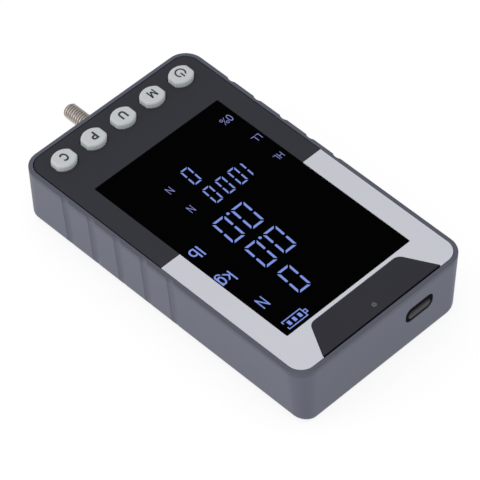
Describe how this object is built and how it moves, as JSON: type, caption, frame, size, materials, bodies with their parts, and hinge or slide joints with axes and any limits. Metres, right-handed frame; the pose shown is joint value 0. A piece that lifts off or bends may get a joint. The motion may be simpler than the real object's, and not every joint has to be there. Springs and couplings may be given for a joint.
{
  "type": "digital force gauge",
  "caption": "Hand-held digital force gauge with a tapered case, keys, a screen, a charging socket and a threaded load stud.",
  "frame": {"origin": "centre of the flat back of the case, on the surface that the gauge lies on", "axes": "+Z out of the screen, +X to the right of someone who reads it, +Y to the end with the USB socket; the load stud stands out along -Y"},
  "size_m": [0.08, 0.1538, 0.0291],
  "materials": {
    "case_grey": "fine textured grey",
    "panel_dark": "satin dark grey",
    "trim_silver": "satin silver paint",
    "badge_dark": "smooth dark grey",
    "pipe_clear": "milky",
    "lens_black": "gloss black",
    "display_figures": "lit blue figures",
    "key_plastic": "satin pale grey",
    "black_plastic": "moulded black",
    "white_plastic": "moulded white",
    "board_green": "solder mask on glass fibre",
    "stud_steel": "rolled thread, nickel plated",
    "plain_steel": "zinc plated",
    "black_steel": "black oxide",
    "cell_aluminium": "milled",
    "insert_brass": "turned",
    "cover_rubber": "matt grey",
    "foam": "closed-cell foam",
    "battery_wrap": "silver-grey film"
  },
  "bodies": {
    "case": {"housing": "case_grey", "front_panel": "panel_dark", "silver_bezel": "trim_silver", "badge_plate": "badge_dark", "light_pipe": "pipe_clear", "display_window": "lens_black", "switch_power": "black_plastic", "switch_m": "black_plastic", "switch_u": "black_plastic", "switch_p": "black_plastic", "switch_c": "black_plastic", "lcd_panel": "display_figures", "backlight": "white_plastic", "lcd_frame": "white_plastic", "main_board": "board_green", "status_led": "white_plastic", "buzzer": "black_plastic", "stud_bush": "black_plastic", "load_cell": "cell_aluminium", "load_bracket": "plain_steel", "cell_screw_1": "plain_steel", "cell_screw_2": "plain_steel", "battery_pad": "foam", "battery": "battery_wrap", "usb_liner": "black_plastic", "usb_shell": "plain_steel", "usb_tongue": "black_plastic", "usb_board": "board_green", "usb_screw_1": "plain_steel", "usb_screw_2": "plain_steel", "case_screw_1": "black_steel", "case_screw_2": "black_steel", "case_screw_3": "black_steel", "case_screw_4": "black_steel", "bracket_screw_1": "black_steel", "bracket_screw_2": "black_steel", "board_screw_1": "plain_steel", "board_screw_2": "plain_steel", "board_screw_3": "plain_steel", "board_screw_4": "plain_steel", "stand_insert_1": "insert_brass", "stand_insert_2": "insert_brass", "stand_insert_3": "insert_brass", "stand_insert_4": "insert_brass"},
    "power_button": {"key_power": "key_plastic", "plunger_power": "black_plastic"},
    "m_button": {"key_m": "key_plastic", "plunger_m": "black_plastic"},
    "u_button": {"key_u": "key_plastic", "plunger_u": "black_plastic"},
    "p_button": {"key_p": "key_plastic", "plunger_p": "black_plastic"},
    "c_button": {"key_c": "key_plastic", "plunger_c": "black_plastic"},
    "load_shaft": {"stud": "stud_steel", "lock_nut": "stud_steel"},
    "dust_cover": {"usb_cover": "cover_rubber"}
  },
  "joints": [
    {"name": "power_press", "type": "slide", "parent": "case", "child": "power_button", "axis": [0, 0, 1], "range_m": [-0.0006, 0], "stiffness_N_per_m": 400, "springref_m": 0.0004},
    {"name": "m_press", "type": "slide", "parent": "case", "child": "m_button", "axis": [0, 0, 1], "range_m": [-0.0006, 0], "stiffness_N_per_m": 400, "springref_m": 0.0004},
    {"name": "u_press", "type": "slide", "parent": "case", "child": "u_button", "axis": [0, 0, 1], "range_m": [-0.0006, 0], "stiffness_N_per_m": 400, "springref_m": 0.0004},
    {"name": "p_press", "type": "slide", "parent": "case", "child": "p_button", "axis": [0, 0, 1], "range_m": [-0.0006, 0], "stiffness_N_per_m": 400, "springref_m": 0.0004},
    {"name": "c_press", "type": "slide", "parent": "case", "child": "c_button", "axis": [0, 0, 1], "range_m": [-0.0006, 0], "stiffness_N_per_m": 400, "springref_m": 0.0004},
    {"name": "load_slide", "type": "slide", "parent": "case", "child": "load_shaft", "axis": [0, 1, 0], "range_m": [-0.0003, 0.0003], "stiffness_N_per_m": 1500},
    {"name": "dust_cover_slide", "type": "slide", "parent": "case", "child": "dust_cover", "axis": [0, 1, 0], "range_m": [0, 0.008]}
  ]
}
